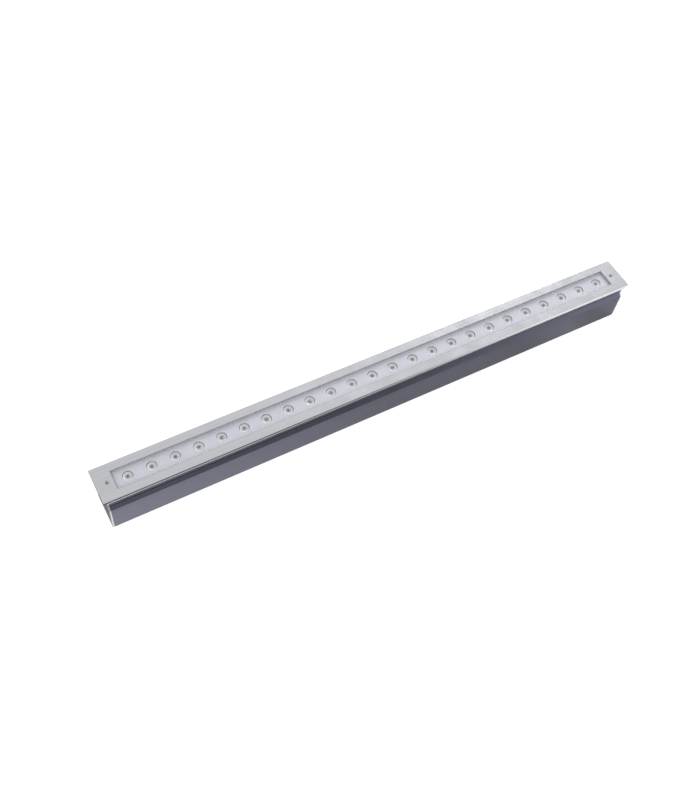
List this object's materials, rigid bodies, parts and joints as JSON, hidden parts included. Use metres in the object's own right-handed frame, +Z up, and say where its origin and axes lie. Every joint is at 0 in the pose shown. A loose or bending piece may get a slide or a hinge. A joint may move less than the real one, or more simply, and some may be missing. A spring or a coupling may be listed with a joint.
{
  "type": "recessed ground light",
  "caption": "Long slim recessed ground light: brushed face plate with a glazed row of lenses over a deep necked metal recess box; the light unit lifts straight out.",
  "frame": {"origin": "middle of the underside of the recess box, in the middle of its length and width", "axes": "+X along the light, +Y across it, +Z up out of the ground through the glass"},
  "size_m": [1, 0.064, 0.0855],
  "materials": {
    "brushed_plate": "long-grain brushed stainless steel",
    "screw_steel": "plain stainless steel",
    "bracket_steel": "zinc-plated sheet steel",
    "anodised_box": "dark blue-grey anodised, satin",
    "end_plate_metal": "bare, lightly milled",
    "housing_aluminium": "natural anodised, satin",
    "cover_glass": "clear toughened glass, polished edges",
    "optic_grey": "light grey moulded plastic, satin",
    "clear_lens": "clear acrylic, polished",
    "emitter_phosphor": "pale yellow phosphor under silicone",
    "board_white": "white solder mask on an aluminium core",
    "white_plastic": "white moulded plastic",
    "black_plastic": "black moulded plastic, fine texture",
    "driver_case": "potted dark grey case",
    "black_rubber": "matt black rubber",
    "grey_silicone": "grey silicone, satin"
  },
  "bodies": {
    "recess_box": {"box_extrusion": "anodised_box", "box_end_plate_left": "end_plate_metal", "box_end_plate_right": "end_plate_metal", "end_plate_screws": "screw_steel", "cable_grommet": "black_rubber", "fixing_bracket_left": "bracket_steel", "fixing_bracket_right": "bracket_steel", "bracket_rivets": "bracket_steel", "bracket_nuts": "screw_steel"},
    "light_unit": {"face_plate": "brushed_plate", "fixing_screws": "screw_steel", "screw_retainers": "white_plastic", "cover_glass": "cover_glass", "glass_seal": "grey_silicone", "plate_bond": "grey_silicone", "light_housing": "housing_aluminium", "housing_cap_left": "housing_aluminium", "housing_cap_right": "housing_aluminium", "cap_gasket_left": "black_rubber", "cap_gasket_right": "black_rubber", "cap_screws": "screw_steel", "optic_plate": "optic_grey", "board_screws": "screw_steel", "board_links": "white_plastic", "driver_tray": "bracket_steel", "driver": "driver_case", "driver_screws": "screw_steel", "terminal_block": "black_plastic", "gland_body": "black_plastic", "gland_nut": "black_plastic", "gland_seal": "black_rubber", "gland_locknut": "black_plastic", "breather_vent": "black_plastic", "vent_locknut": "black_plastic", "lenses_1": "clear_lens", "lens_carrier_1": "white_plastic", "emitters_1": "emitter_phosphor", "led_board_1": "board_white", "thermal_pad_1": "grey_silicone", "lenses_2": "clear_lens", "lens_carrier_2": "white_plastic", "emitters_2": "emitter_phosphor", "led_board_2": "board_white", "thermal_pad_2": "grey_silicone", "lenses_3": "clear_lens", "lens_carrier_3": "white_plastic", "emitters_3": "emitter_phosphor", "led_board_3": "board_white", "thermal_pad_3": "grey_silicone", "lenses_4": "clear_lens", "lens_carrier_4": "white_plastic", "emitters_4": "emitter_phosphor", "led_board_4": "board_white", "thermal_pad_4": "grey_silicone"}
  },
  "joints": [
    {"name": "light_lift", "type": "slide", "parent": "recess_box", "child": "light_unit", "axis": [0, 0, 1], "range_m": [0, 0.08]}
  ]
}
